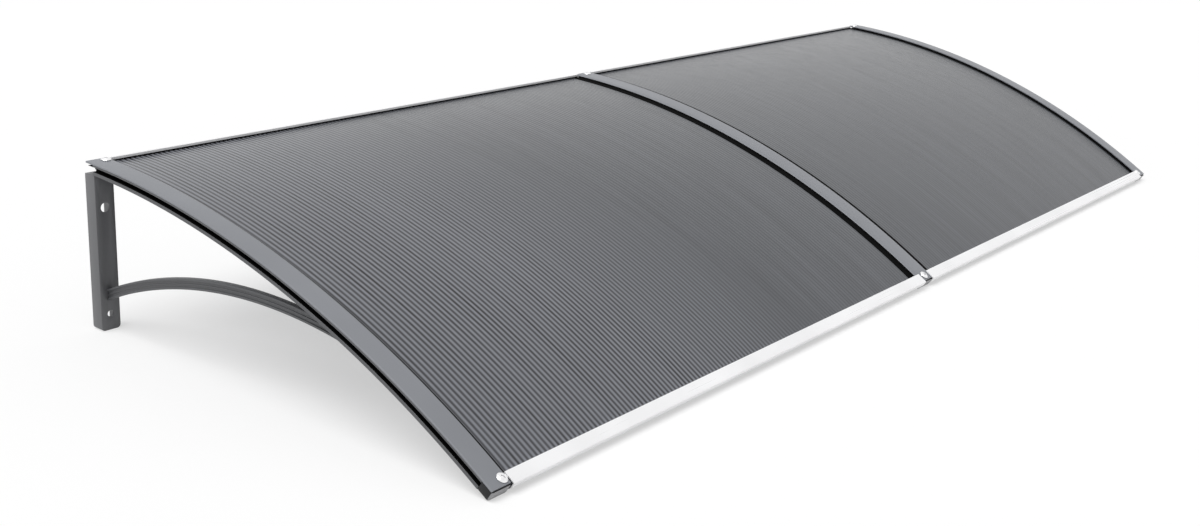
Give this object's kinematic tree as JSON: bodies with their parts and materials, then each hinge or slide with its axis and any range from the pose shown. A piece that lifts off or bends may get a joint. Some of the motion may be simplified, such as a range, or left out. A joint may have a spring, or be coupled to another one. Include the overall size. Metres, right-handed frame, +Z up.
{
  "type": "door canopy",
  "caption": "Shallow curved door canopy: bent twin-wall sheets held between arched metal ribs on wall posts with slim curved support arms.",
  "frame": {"origin": "middle of the canopy's width and depth, at the feet of the posts", "axes": "+X along the wall to the right seen from outside, +Y towards the wall, +Z up"},
  "size_m": [2, 0.7098, 0.2296],
  "materials": {
    "rib_paint": "satin grey powder coat",
    "post_paint": "satin dark grey powder coat",
    "end_cap": "satin dark grey",
    "rail": "bright mill finish",
    "sheet": "glossy dark tinted twin-wall sheet",
    "seal": "matt black",
    "screw": "bright"
  },
  "bodies": {
    "root": {"cover_strip_left": "rib_paint", "cover_strip_centre": "rib_paint", "cover_strip_right": "rib_paint", "rafter_left": "rib_paint", "rafter_centre": "rib_paint", "rafter_right": "rib_paint", "front_end_cap_left": "end_cap", "front_end_cap_centre": "end_cap", "front_end_cap_right": "end_cap", "wall_post_left": "post_paint", "wall_post_centre": "post_paint", "wall_post_right": "post_paint", "support_arm_left": "rib_paint", "support_arm_centre": "rib_paint", "support_arm_right": "rib_paint", "roof_panel_left": "sheet", "roof_panel_right": "sheet", "front_rail_left": "rail", "front_rail_right": "rail", "back_rail_left": "rail", "back_rail_right": "rail", "back_gasket_left": "seal", "back_gasket_right": "seal", "front_screw_left": "screw", "front_screw_centre": "screw", "front_screw_right": "screw", "back_screw_left": "screw", "back_screw_centre": "screw", "back_screw_right": "screw"}
  },
  "joints": []
}
